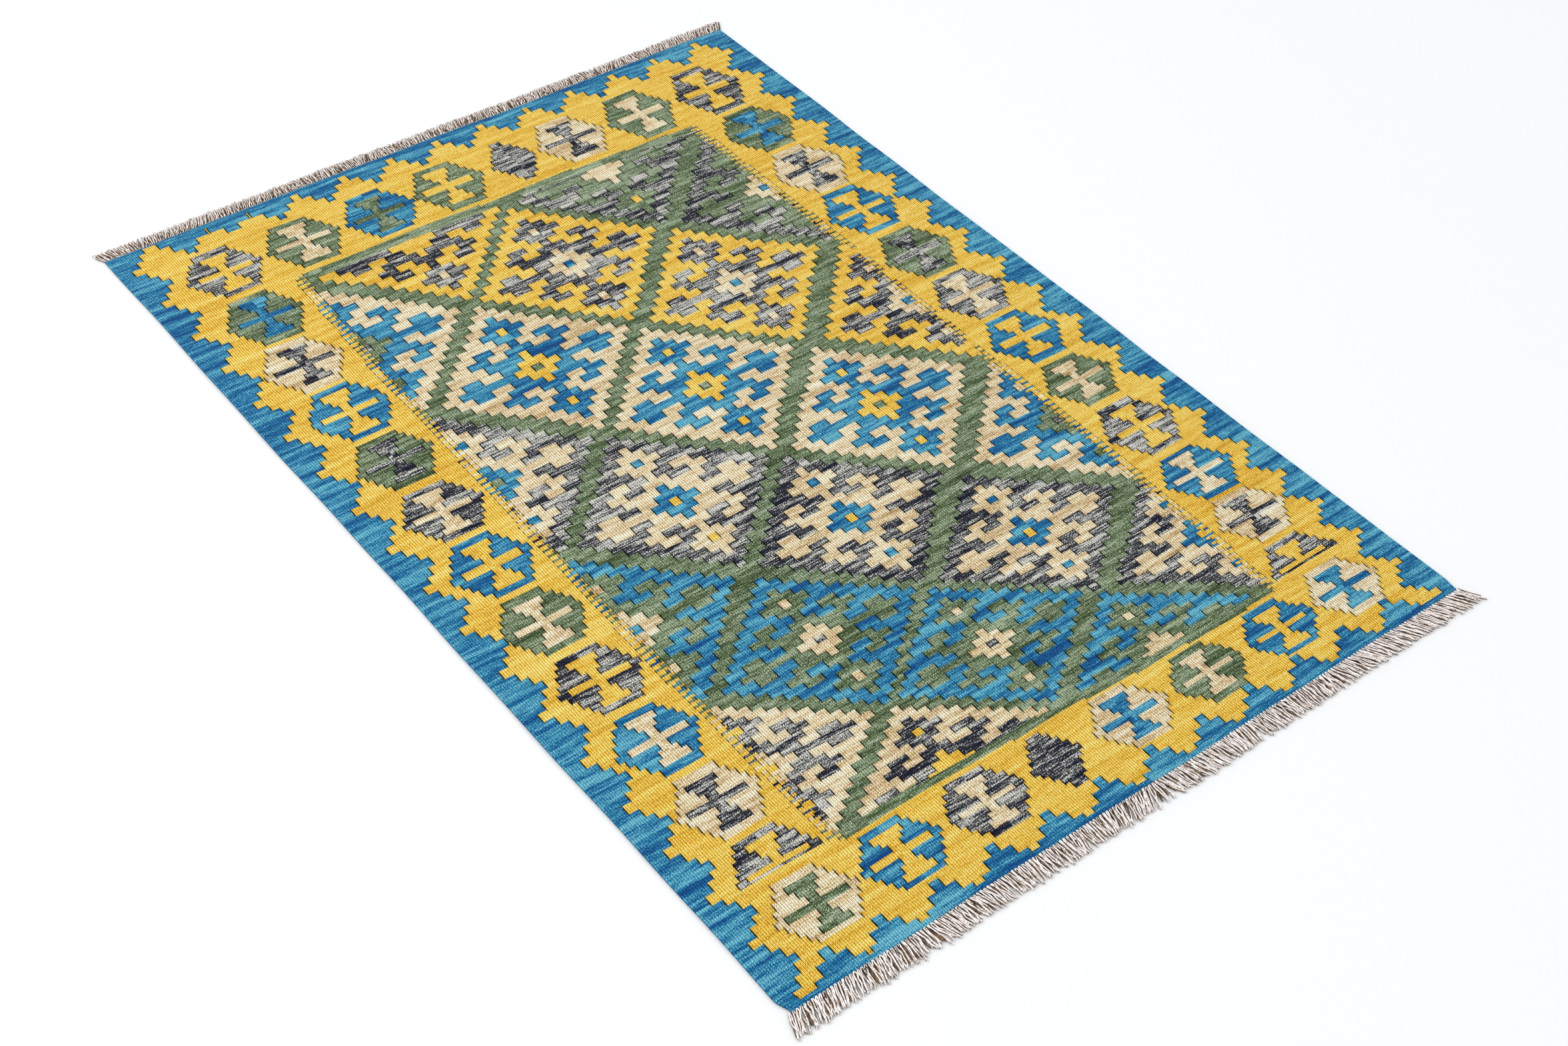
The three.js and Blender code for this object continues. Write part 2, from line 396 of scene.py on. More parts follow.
def lay_diamond(wool, skein, x, row, field, number, place, words):
    """Writes one diamond of the lattice into the field."""
    column, line = place
    cx = np.interp(LINE_PLACES[line], COLUMN_ROWS, COLUMN_PLACES[column])
    cy = LINE_PLACES[line] + np.interp(cx, *LINE_DROP)
    before, after = max(line - 1, 0), min(line + 1, len(LINE_PLACES) - 1)
    row_height = (LINE_PLACES[after] - LINE_PLACES[before]) / (after - before) / ROWS_BETWEEN_LINES
    dx = np.round((x - cx) / DIAMOND_CELL).astype(int)
    dy = np.round((row - cy) / row_height).astype(int)
    inside = field & (np.abs(dx) + np.abs(dy) <= DIAMOND_REACH)
    wools = [WOOLS[name] for name in words.split()]
    for count, letters in enumerate(QUARTER_CHART):
        here = inside & (np.abs(dy) == count)
        for step, letter in enumerate(letters):
            spot = here & (np.abs(dx) == step)
            wool[spot] = wools[CHART_LETTERS.index(letter)]
            if letter == "E":
                wool[spot & (dy > 0)] = wools[CHART_LETTERS.index("F")]
    quarter = (dx[inside] > 0) + 2 * (dy[inside] > 0)
    skein[inside] = FIRST_DIAMOND_SKEIN + 4 * number + quarter


def lay_field(wool, skein, x, row, field):
    """Writes the green lattice and all its diamonds."""
    wool[field] = GREEN
    skein[field] = LATTICE_SKEIN
    for number, (place, words) in enumerate(DIAMONDS.items()):
        lay_diamond(wool, skein, x, row, field, number, place, words)


# %% [markdown]
# ### The whole chart
#
# The field sits in a green band at both ends, and its long sides are dovetailed into the gold with
# a comb of short teeth, so that no long slit weakens the cloth. The chart also gives each motif its
# own skein number: two hanks of one colour never took the dye alike, and the wool reads it.

# %% The whole chart
FIELD_TOP = ((14.0, 38.0, 50.0, 62.0), (12.75, 12.9, 13.2, 13.75))
FIELD_BOTTOM = ((13.0, 30.0, 40.0, 50.0, 57.0, 64.0), (99.7, 99.9, 100.2, 100.65, 100.85, 100.4))
FIELD_LEFT = ((13.0, 22.0, 30.0, 45.0, 60.0, 75.0, 90.0, 99.0),
              (14.0, 13.5, 13.1, 12.95, 12.6, 12.4, 12.7, 12.9))
FIELD_RIGHT = ((14.0, 25.0, 45.0, 60.0, 75.0, 90.0, 99.0), (63.2, 63.65, 64.0, 64.0, 64.2, 63.9, 63.7))
TOP_BAND = 1.12
BOTTOM_BAND = 0.85
COMB_LENGTH = 1.05  # from the gold to the tip of a tooth, in cells
COMB_ROWS = 3  # rows of the mesh from one tooth to the next
COMB_SHOULDER = 0.6  # how far a tooth is two rows wide, of its length
STRAY_PICK_START = 41  # one grey weft was left in under the far band
STRAY_PICK_HEIGHT = 0.25
END_GUARD_ROWS = 8  # no tooth of an end guard reaches further in


def read_chart(x, row):
    """The wool and the skein number at each place, for arrays of cells and rows."""
    wool = np.full(x.shape, GOLD)
    skein = np.floor(row / GROUND_ROWS_PER_SKEIN) * 0.25
    for number in range(len(MEDALLIONS)):
        lay_medallion(wool, skein, x, row, number)

    left = np.interp(row, *FIELD_LEFT)
    right = np.interp(row, *FIELD_RIGHT)
    top = np.interp(x, *FIELD_TOP)
    bottom = np.interp(x, *FIELD_BOTTOM)
    field = (x > left) & (x < right) & (row > top) & (row < bottom)
    lay_field(wool, skein, x, row, field)
    band = field & ((row < top + TOP_BAND) | (row > bottom - BOTTOM_BAND))
    wool[band] = GREEN
    below_band = row - top - TOP_BAND
    stray_pick = field & (x > STRAY_PICK_START) & (below_band > 0) & (below_band < STRAY_PICK_HEIGHT)
    wool[stray_pick & (wool == GREEN)] = GREY
    reach = np.minimum(x - left, right - x) / COMB_LENGTH
    row_of_tooth = np.mod(np.floor(row / PICK), COMB_ROWS)
    gold_tooth = (row_of_tooth == 0) | ((row_of_tooth == 1) & (reach < COMB_SHOULDER))
    wool[field & (reach < 1) & gold_tooth] = GOLD

    inset_left = side_inset(row, LEFT_TIPS)
    inset_right = side_inset(row, RIGHT_TIPS)
    side = (x < inset_left) | (x > CELLS_ACROSS - inset_right)
    end = far_guard(x, row) | near_guard(x, row)
    near_an_end = (row < END_GUARD_ROWS) | (row > ROWS_LONG - END_GUARD_ROWS)
    guard = side | (end & near_an_end)
    wool[guard] = BLUE
    batch = np.floor(row[guard] / GUARD_ROWS_PER_SKEIN) + 40 * (x[guard] > CELLS_ACROSS / 2)
    skein[guard] = FIRST_GUARD_SKEIN + batch
    return wool, skein


# %% [markdown]
# ## The cloth
#
# The mesh follows the weave. Each warp is one rib: a crest over the warp and a valley on each side,
# so two columns of faces. The rows are a quarter of a cell, and a quarter of that where the cloth
# folds. Both faces of the cloth are modelled, because the back of a kilim looks like its front and
# shows when the rug is folded. A slit pulls its valley down between two colours. A simulation would
# only blur all this, since the rug lies flat.

# %% Heights of the cloth
COLUMNS = WARPS * 2
FOLD_SPLIT = 4  # near a fold each row is split into so many
FOLD_ZONES = ((NEAR_FOLD - 0.011, NEAR_FOLD + 0.004), (FAR_FOLD - 0.004, FAR_FOLD + 0.011),
              (STRIP_NEAR - 0.004, STRIP_FAR + 0.004))  # from and to, in metres along the rug


def row_places():
    """Where each line between two rows lies along the rug, from the far end, in metres."""
    height = CLOTH_LENGTH / PLAIN_ROWS
    lines = []
    for number in range(PLAIN_ROWS):
        y = CLOTH_FAR - (number + 0.5) * height
        bends = any(low < y < high for low, high in FOLD_ZONES)
        parts = FOLD_SPLIT if bends else 1
        lines += [(number + part / parts) * height for part in range(parts)]
    return np.array(lines + [CLOTH_LENGTH])


ROW_PLACES = row_places()
ROWS = len(ROW_PLACES) - 1
print(COLUMNS, "columns and", ROWS, "rows of faces on each side of the cloth")

RIB_DEPTH = 0.0007  # from a rib's crest down to the valley beside it
SLIT_DEPTH = 0.0012  # how much deeper a valley with a slit is
BASE_LIFT = 0.0001  # how high the lowest rib lies above the frame's zero
BODY_THICKNESS = 0.0031
SELVEDGE_HALF = 0.0006  # half thickness at the very edge
SWELL_HEIGHTS = (0.00045, 0.00035, 0.00012)  # of the long, the middle and the small swells
RIB_SWAY = 0.0006  # how far a rib strays sideways inside the cloth
WEFT_SWAY = 0.0009
EDGE_SWAYS = (0.0006, 0.0004)  # how far an edge strays, in long and short waves
EDGE_SEEDS = {"left": 1.0, "right": 2.0, "far": 3.0, "near": 4.0}
CORNER_PULL = 0.0065  # the near left corner is drawn in
CORNER_LENGTH = 0.022
EDGE_REACH = 0.045  # how far in from an edge its wander is felt


def ease(value):
    """A smooth climb from 0 to 1."""
    value = np.clip(value, 0, 1)
    return value * value * (3 - 2 * value)


def unevenness(x, y):
    """How far the cloth rises off a flat floor, in metres: shallow swells, never below zero."""
    swell = 0.5 + 0.5 * np.sin(17 * x + 2.1 * np.sin(9 * y + 0.6))
    ripple = 0.5 + 0.5 * np.sin(41 * y + 1.7 * np.sin(23 * x + 1.1))
    small = 0.5 + 0.5 * np.sin(95 * x + 61 * y)
    return SWELL_HEIGHTS[0] * swell + SWELL_HEIGHTS[1] * ripple + SWELL_HEIGHTS[2] * small


def edge_wander(along, edge):
    """The outline of the cloth strays from a straight line by about a millimetre."""
    seed = EDGE_SEEDS[edge]
    return EDGE_SWAYS[0] * np.sin(11 * along + seed) + EDGE_SWAYS[1] * np.sin(31 * along + 2.3 * seed)


def place_vertices(column, row_line):
    """Where a vertex of the weave lies, seen from above."""
    x = CLOTH_LEFT + column / COLUMNS * CLOTH_WIDTH
    y = CLOTH_FAR - ROW_PLACES[row_line]
    from_left = ease(1 - (x - CLOTH_LEFT) / EDGE_REACH)
    from_right = ease(1 - (CLOTH_RIGHT - x) / EDGE_REACH)
    from_far = ease(1 - (CLOTH_FAR - y) / EDGE_REACH)
    from_near = ease(1 - (y - CLOTH_NEAR) / EDGE_REACH)
    corner = ease(1 - (y - CLOTH_NEAR) / CORNER_LENGTH)
    inner = 1 - np.maximum(from_left, from_right)
    dx = inner * RIB_SWAY * np.sin(38 * y + 2.2 * np.sin(21 * x))
    dx = dx + from_left * (edge_wander(y, "left") + CORNER_PULL * corner)
    dx = dx + from_right * (edge_wander(y, "right") - 0.4 * CORNER_PULL * corner)
    middle = 1 - np.maximum(from_far, from_near)
    dy = middle * WEFT_SWAY * np.sin(29 * x + 2.6 * np.sin(17 * y)) + from_far * edge_wander(x, "far")
    dy = dy + from_near * edge_wander(x, "near")
    return x + dx, y + dy


# %% Read the chart once for the whole cloth
warp_middles = (np.arange(WARPS) + 0.5) / WARPS * CELLS_ACROSS
row_middles = (ROW_PLACES[:-1] + ROW_PLACES[1:]) / 2 / CELL
warp_grid, row_grid = np.meshgrid(warp_middles, row_middles)
wool_chart, skein_chart = read_chart(warp_grid, row_grid)
wool_faces = np.repeat(wool_chart, 2, axis=1)
skein_faces = np.repeat(skein_chart, 2, axis=1)
print("share of each wool:", {name: round(float((wool_chart == i).mean()), 3) for name, i in WOOLS.items()})

# A slit lies on a line between two warps where the wool changes.
changes = np.zeros((ROWS, COLUMNS + 1))
changes[:, 1:-1] = wool_faces[:, 1:] != wool_faces[:, :-1]
slit_lines = np.zeros((ROWS + 1, COLUMNS + 1))
slit_lines[:-1] += 0.5 * changes
slit_lines[1:] += 0.5 * changes

# %% [markdown]
# ### Building a stretch of cloth
#
# A stretch is a rectangle of the weave with a top, a back and a thin wall round its rim, so that it
# is a closed solid. Its rest position is stored as a UV map in metres. The wool reads that map, and
# so its grain stays put on the cloth when the rug folds.

# %% Build a stretch of cloth
WEAVE_MAP = "weave"


def grid_faces(across, down):
    """Vertex numbers of the quads of a grid with so many faces each way, anticlockwise from above."""
    line = across + 1
    corner = (np.arange(down)[:, None] * line + np.arange(across)[None, :]).ravel()
    return np.stack([corner + line, corner + line + 1, corner + 1, corner], axis=1)


def rim_loop(across, down):
    """Vertex numbers round the grid's rim, clockwise from above."""
    line = across + 1
    far = list(range(0, across + 1))
    right = [line * row + across for row in range(1, down + 1)]
    near = [line * down + column for column in range(across - 1, -1, -1)]
    left = [line * row for row in range(down - 1, 0, -1)]
    return np.array(far + right + near + left)


def fill_mesh(mesh, points, quads):
    """Gives an empty mesh its points and its four-cornered faces."""
    mesh.vertices.add(len(points))
    mesh.vertices.foreach_set("co", points.astype(np.float32).ravel())
    mesh.loops.add(quads.size)
    mesh.loops.foreach_set("vertex_index", quads.astype(np.int32).ravel())
    mesh.polygons.add(len(quads))
    mesh.polygons.foreach_set("loop_start", np.arange(0, quads.size, 4, dtype=np.int32))
    mesh.update(calc_edges=True)


def sharpen_rim(mesh, rim, count):
    """The wall round a stretch mustn't tilt the shading of its faces, or the cuts would show."""
    on_rim = np.zeros(2 * count, dtype=bool)
    on_rim[rim] = True
    on_rim[rim + count] = True
    ends = np.empty(len(mesh.edges) * 2, dtype=np.int32)
    mesh.edges.foreach_get("vertices", ends)
    first, second = ends[0::2], ends[1::2]
    sharp = on_rim[first] & on_rim[second] & ((first < count) == (second < count))
    attribute = mesh.attributes.new("sharp_edge", "BOOLEAN", "EDGE")
    attribute.data.foreach_set("value", sharp)


def store_numbers(mesh, name, domain, values):
    """Keeps one number for each face or each point, where a material can read it."""
    attribute = mesh.attributes.new(name, "FLOAT", domain)
    attribute.data.foreach_set("value", values.astype(np.float32))


def store_weave_map(mesh, places):
    """Keeps the place of each corner in the flat weave, in metres, as a UV map."""
    layer = mesh.uv_layers.new(name=WEAVE_MAP)
    layer.data.foreach_set("uv", places.astype(np.float32).ravel())


def make_piece(mesh, choices, materials):
    """Gives each face its choice of the materials, and puts the mesh into the scene as a piece."""
    mesh.polygons.foreach_set("material_index", choices.astype(np.int32))
    mesh.polygons.foreach_set("use_smooth", np.ones(len(choices), dtype=bool))
    for material in materials:
        mesh.materials.append(material)
    piece = bpy.data.objects.new(mesh.name, mesh)
    bpy.context.scene.collection.objects.link(piece)
    return piece


def weave_stretch(name, columns, rows):
    """One closed stretch of cloth between two lines of columns and two lines of rows."""
    c0, c1 = columns
    r0, r1 = rows
    across, down = c1 - c0, r1 - r0
    column, row_line = np.meshgrid(np.arange(c0, c1 + 1), np.arange(r0, r1 + 1))
    x, y = place_vertices(column, row_line)
    valley = (column % 2 == 0).astype(float)
    slit = slit_lines[r0:r1 + 1, c0:c1 + 1]
    sink = valley * (RIB_DEPTH + SLIT_DEPTH * slit)
    lift = BASE_LIFT + unevenness(x, y)
    top = lift + BODY_THICKNESS - sink
    back = lift + sink
    outer = (column == 0) | (column == COLUMNS) | (row_line == 0) | (row_line == ROWS)
    middle = lift + BODY_THICKNESS / 2
    top = np.where(outer, middle + SELVEDGE_HALF, top)
    back = np.where(outer, middle - SELVEDGE_HALF, back)

    top_points = np.stack([x, y, top], axis=-1).reshape(-1, 3)
    back_points = np.stack([x, y, back], axis=-1).reshape(-1, 3)
    count = len(top_points)
    quads = grid_faces(across, down)
    rim = rim_loop(across, down)
    following = np.roll(rim, -1)
    wall = np.stack([rim, following, following + count, rim + count], axis=1)
    all_quads = np.concatenate([quads, quads[:, ::-1] + count, wall])

    mesh = bpy.data.meshes.new(name)
    fill_mesh(mesh, np.concatenate([top_points, back_points]), all_quads)
    sharpen_rim(mesh, rim, count)
    wool, skein = (
        np.concatenate([faces, faces, np.full(len(wall), faces[0])])
        for faces in (chart[r0:r1, c0:c1].ravel() for chart in (wool_faces, skein_faces))
    )
    store_numbers(mesh, "skein", "FACE", skein)
    store_numbers(mesh, "slit", "POINT", np.tile((slit * valley).ravel(), 2))

    rest_u = (column / COLUMNS * CLOTH_WIDTH).ravel()
    rest_v = ROW_PLACES[row_line].ravel()
    weave_uv = np.stack([np.tile(rest_u, 2), np.tile(rest_v, 2)], axis=1)
    store_weave_map(mesh, weave_uv[all_quads.ravel()])
    return make_piece(mesh, wool, wool_materials)


# %% [markdown]
# ## The wool
#
# Every wool is the same material with other colours. Three things make it read as handspun yarn:
# streaks along the weft where the dye took unevenly, single wefts that differ from their
# neighbours, and a small round bead wherever a weft passes over a warp. The beads of one warp sit
# between those of the next. All of it is worked out from the weave map, so it needs no pictures.

# %% A small helper for wiring nodes
RELIEF_DEPTH = 0.0006


class Wiring:
    """Adds nodes to one material and joins them up."""

    def __init__(self, material):
        material.use_nodes = True
        self.tree = material.node_tree
        self.shader = self.tree.nodes["Principled BSDF"]

    def node(self, kind, **settings):
        made = self.tree.nodes.new(kind)
        for key, value in settings.items():
            setattr(made, key, value)
        return made

    def feed(self, socket, value):
        if isinstance(value, bpy.types.NodeSocket):
            self.tree.links.new(value, socket)
        else:
            socket.default_value = value

    def stored(self, name):
        """A number that the mesh keeps under this name."""
        return self.node("ShaderNodeAttribute", attribute_name=name).outputs["Fac"]

    def weave_place(self):
        """The two numbers of the weave map."""
        weave = self.node("ShaderNodeUVMap", uv_map=WEAVE_MAP)
        parts = self.node("ShaderNodeSeparateXYZ")
        self.feed(parts.inputs[0], weave.outputs[0])
        return parts.outputs[0], parts.outputs[1]

    def math(self, operation, a, b=0.0):
        made = self.node("ShaderNodeMath", operation=operation)
        self.feed(made.inputs[0], a)
        self.feed(made.inputs[1], b)
        return made.outputs[0]

    def plus(self, a, b):
        return self.math("ADD", a, b)

    def minus(self, a, b):
        return self.math("SUBTRACT", a, b)

    def times(self, a, b):
        return self.math("MULTIPLY", a, b)

    def humps(self, value):
        """A row of round humps: nothing at each whole number, 1 halfway between two."""
        return self.math("ABSOLUTE", self.math("SINE", self.times(value, math.pi)))

    def vector(self, x, y, z):
        made = self.node("ShaderNodeCombineXYZ")
        for socket, value in zip(made.inputs, (x, y, z)):
            self.feed(socket, value)
        return made.outputs[0]

    def noise(self, vector, detail=2.0):
        made = self.node("ShaderNodeTexNoise")
        self.feed(made.inputs["Vector"], vector)
        made.inputs["Scale"].default_value = 1.0
        made.inputs["Detail"].default_value = detail
        return made.outputs["Fac"]

    def speckle(self, vector):
        made = self.node("ShaderNodeTexWhiteNoise", noise_dimensions="3D")
        self.feed(made.inputs["Vector"], vector)
        return made.outputs["Value"]

    def ramp(self, value, stops):
        made = self.node("ShaderNodeValToRGB")
        elements = made.color_ramp.elements
        while len(elements) < len(stops):
            elements.new(0.5)
        for element, (position, colour) in zip(elements, stops):
            element.position = position
            element.color = (*colour, 1.0)
        self.feed(made.inputs[0], value)
        return made.outputs["Color"]

    def scaled(self, colour, factor):
        made = self.node("ShaderNodeVectorMath", operation="SCALE")
        self.feed(made.inputs[0], colour)
        self.feed(made.inputs["Scale"], factor)
        return made.outputs[0]

    def finish(self, colour, height, relief, roughness, specular, sheen):
        """Gives the surface its colour, its fine relief and the dull shine of wool."""
        bump = self.node("ShaderNodeBump")
        self.feed(bump.inputs["Strength"], relief)
        self.feed(bump.inputs["Distance"], RELIEF_DEPTH)
        self.feed(bump.inputs["Height"], height)
        self.feed(self.shader.inputs["Normal"], bump.outputs[0])
        self.feed(self.shader.inputs["Base Color"], colour)
        self.feed(self.shader.inputs["Roughness"], roughness)
        self.feed(self.shader.inputs["Specular IOR Level"], specular)
        self.feed(self.shader.inputs["Sheen Weight"], sheen)
        self.feed(self.shader.inputs["Sheen Roughness"], 0.5)


# %% The wool materials
WOOL_LOOKS = {
    # name: dark, middle and light of the dye, share of long streaks, of single wefts, of flecks in the yarn
    "gold": ((0.54, 0.24, 0.006), (0.97, 0.59, 0.062), (1.0, 0.88, 0.31), 0.36, 0.50, 1.90),
    "blue": ((0.002, 0.06, 0.23), (0.015, 0.215, 0.405), (0.17, 0.53, 0.65), 0.95, 1.05, 2.20),
    "green": ((0.026, 0.050, 0.011), (0.147, 0.208, 0.098), (0.48, 0.56, 0.38), 0.62, 1.15, 2.50),
    "cream": ((0.40, 0.23, 0.08), (0.88, 0.68, 0.385), (1.0, 1.0, 0.80), 0.50, 0.85, 2.10),
    "grey": ((0.003, 0.005, 0.020), (0.052, 0.053, 0.063), (0.72, 0.70, 0.62), 1.10, 2.00, 2.90),
}
YARN_SLANT = 1.0  # how far a weft climbs as it crosses one warp, in wefts
BEAD_WANDER = 1.2  # how far the beads stray from even rows, in wefts

# How often the noise changes in a metre, from warp to warp and along the warps.
WANDER_GRAIN = (210.0, 260.0)
STREAK_GRAIN = (7.0, 110.0)
PICK_GRAIN = (42.0, 520.0)
FLECK_GRAIN = (420.0, 1.6)  # its second number counts in wefts

# The light kept in the hollow beside a bead or a rib, and what its crest adds.
BEAD_LIGHT = (0.17, 1.06)
RIB_LIGHT = (0.49, 0.68)
SLIT_WIDENING = 1.5
SLIT_DARKNESS = 0.93


def make_wool(name, dark, middle, light, streaks, picks, flecks):
    """One dyed wool, with beads where the wefts cross the warps."""
    material = bpy.data.materials.new(f"{name}_wool")
    wiring = Wiring(material)
    plus, minus, times = wiring.plus, wiring.minus, wiring.times
    across, along = wiring.weave_place()

    def patches(grain, layer):
        return wiring.noise(wiring.vector(times(across, grain[0]), times(along, grain[1]), layer))

    def centred(value, share):
        return times(minus(value, 0.5), share)

    # where a place lies in the weave: which warp, and how far along it, counted in wefts
    warp = times(across, 1 / WARP_PITCH)
    warp_number = wiring.math("FLOOR", warp)
    in_warp = wiring.math("FRACT", warp)
    offset = times(wiring.math("MODULO", warp_number, 2.0), 0.5)
    wander = times(patches(WANDER_GRAIN, 4.0), BEAD_WANDER)
    bead = plus(times(along, 1 / BEAD_PITCH), offset)
    bead = plus(bead, plus(times(in_warp, YARN_SLANT), wander))

    # the dye: long streaks along the weft, single wefts, and flecks in the spun yarn
    skein_place = times(wiring.stored("skein"), 3.7)
    streak = patches(STREAK_GRAIN, skein_place)
    pick = patches(PICK_GRAIN, skein_place)
    fleck_place = wiring.vector(times(across, FLECK_GRAIN[0]), times(bead, FLECK_GRAIN[1]), warp_number)
    fleck = wiring.noise(fleck_place, 3.0)
    tone = wiring.speckle(wiring.vector(skein_place, 0.5, 0.5))
    shade = plus(plus(0.5, centred(tone, 0.18 * streaks)), centred(streak, 1.9 * streaks))
    shade = plus(shade, plus(centred(pick, picks), centred(fleck, flecks)))
    colour = wiring.ramp(shade, ((0.14, dark), (0.5, middle), (0.86, light)))

    # round beads on round ribs, and the shade down in the slits
    bead_height = wiring.humps(bead)
    bead_light = plus(BEAD_LIGHT[0], times(bead_height, BEAD_LIGHT[1]))
    rib_light = plus(RIB_LIGHT[0], times(wiring.humps(warp), RIB_LIGHT[1]))
    slit = wiring.math("MINIMUM", times(wiring.stored("slit"), SLIT_WIDENING), 1.0)
    slit_light = minus(1.0, times(slit, SLIT_DARKNESS))
    lit = wiring.scaled(colour, times(times(bead_light, rib_light), slit_light))
    relief_height = plus(bead_height, times(fleck, 0.5))
    wiring.finish(lit, relief_height, relief=0.6, roughness=0.92, specular=0.12, sheen=0.05)
    return material


wool_materials = [make_wool(name, *WOOL_LOOKS[name]) for name in WOOLS]
print("wools:", [material.name for material in wool_materials])

# %% [markdown]
# ## Laying out the stretches
#
# The cloth is cut for modelling, not for sewing. Every stretch crosses at most one fold line, and
# the cuts fall between two warps or two wefts, where they can't be seen. The two end borders ride on
# the end panels; the other stretches keep the place where they are woven.

# %% Lay out the stretches
def row_line_at(y):
    """The line between two rows that lies nearest to a place along the rug."""
    return int(np.argmin(np.abs(ROW_PLACES - (CLOTH_FAR - y))))


def column_at(cells):
    """The valley between two warps that lies nearest to a place in cells."""
    return int(round(cells / CELLS_ACROSS * WARPS)) * 2


BORDER_LEFT = column_at(14.0)  # here the gold meets the field, near enough
FIELD_MIDDLE = column_at(CELLS_ACROSS / 2)
BORDER_RIGHT = column_at(63.0)
FAR_BORDER_LINE = row_line_at(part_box("gold_border_far")[0].y)
NEAR_BORDER_LINE = row_line_at(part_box("gold_border_near")[1].y)
FAR_CUT = row_line_at((STRIP_FAR + FAR_FOLD) / 2)
NEAR_CUT = row_line_at((STRIP_NEAR + NEAR_FOLD) / 2)
STRIP_LINE = row_line_at(STRIP_MIDDLE)

LEFT_SPAN = (0, BORDER_LEFT)
RIGHT_SPAN = (BORDER_RIGHT, COLUMNS)
WHOLE_SPAN = (0, COLUMNS)


def across_fold(piece):
    """Bakes a stretch's placement into its mesh; the stretch follows no panel."""
    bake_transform(piece)


def side_nodes(side, panel):
    return [f"{kind}_{side}_{panel}" for kind in ("selvedge", "blue_guard", "gold_border")]


def panel_nodes(panel):
    return [f"field_{panel}"] + side_nodes("left", panel) + side_nodes("right", panel)


def lay_stretch(name, span, rows, nodes):
    """Weaves one stretch of cloth and hides the frame's solids that the caller names for it."""
    piece = weave_stretch(name, span, rows)
    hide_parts(*nodes)
    return piece


# %% [markdown]
# ## The fringe
#
# The warps come out of the cloth as loops, two for every three ribs, and the two plied legs of each
# lie on the floor. A loop is swept as a six-sided tube along its own line: up one leg, round the head
# at the cloth's edge and down the other. There are hundreds, so each has only about a hundred faces,
# and the twist of the ply is left to the material. The loops lean together in locks, as combed
# fringes do.

# %% The fringe's shape
LOOPS = WARPS * 2 // 3
LOOP_PITCH = CLOTH_WIDTH / LOOPS
TUBE_SIDES = 6
LEG_POINTS = 8
HEAD_IN = 0.0012  # how far a loop's head reaches into the cloth's edge
LEG_APART = 0.00120  # from the middle of a loop to each leg
LEG_CLOSING = 0.0002  # and how much less that is at the tips
LEG_SWAYS = ((0.0008, 1), (0.0006, 2), (0.0004, 4))  # how far a leg sways, and in how many bends
LEG_RISE = 0.0007  # how far a leg may arch off the floor
ROOT_RISE = 0.35  # how much higher it lies at its root, in radii
LEG_SPREAD = 0.035  # how differently the two legs of a loop lean
HEAD_HEIGHT = 1.4  # of a loop's head, in radii
HEAD_BACK = 0.001
LOCK_LEAN = 0.11
PLY_PITCH = 0.0033  # one turn of the yarn's twist

FRINGES = {
    # radius of the yarn, length, raggedness and curl of the tips, in metres; then the lean sideways
    # per metre of length, at so many cells across. Where it jumps up, two locks part.
    "near": dict(radius=0.00130, length=0.0286, ragged=0.0034, curl=0.0012,
                 cells=(0, 10, 13.5, 14.5, 22, 29.6, 30.4, 37.8, 39.0, 50, 59.3, 60.2, 77),
                 leans=(-0.38, -0.15, -0.05, 0.28, 0.10, -0.10, 0.12, -0.36, 0.36, 0.12, 0.10, 0.48, 0.62)),
    "far": dict(radius=0.00106, length=0.0224, ragged=0.0015, curl=0.0005,
                cells=(0, 5, 12, 29.0, 30.0, 35, 50, 59.3, 60.3, 66, 77),
                leans=(-0.28, 0.16, 0.26, 0.02, 0.34, 0.20, 0.30, 0.02, 0.40, 0.15, 0.60)),
}
rng = np.random.default_rng(7)


def lock_lean(count, size=5):
    """Neighbouring loops lean alike: a random lean for each small lock, eased from one to the next."""
    knots = rng.normal(0, 1, count // size + 3)
    return np.interp(np.arange(count) / size, np.arange(len(knots)), knots)


def leg_line(side, lean, length, facts):
    """One leg of a loop, from its tip back to the head, with a lazy bend and a curl near the tip."""
    share = np.linspace(1, 0.10, LEG_POINTS)
    sway = sum(rng.normal(0, size) * np.sin(bends * math.pi * share) for size, bends in LEG_SWAYS)
    curl = rng.normal(0, facts["curl"]) * share ** 3
    across = side * (LEG_APART - LEG_CLOSING * share) + lean * share * length + sway + curl
    rise = abs(rng.normal(0, LEG_RISE)) * np.sin(0.85 * math.pi * share)
    height = facts["radius"] * (1.0 + ROOT_RISE * (1 - share)) + rise
    return np.stack([across, -share * length, height], axis=1)


def loop_line(lean, lengths, facts):
    """The line of one loop from tip to tip, with its head at the origin and its legs along -Y."""
    left = leg_line(-1, lean + rng.normal(0, LEG_SPREAD), lengths[0], facts)
    right = leg_line(1, lean + rng.normal(0, LEG_SPREAD), lengths[1], facts)
    angles = np.radians((150, 90, 30))
    across = 0.8 * LEG_APART * np.cos(angles)
    height = np.full(3, HEAD_HEIGHT * facts["radius"])
    head = np.stack([across, HEAD_IN * np.sin(angles) - HEAD_BACK, height], axis=1)
    return np.concatenate([left, head, right[::-1]])


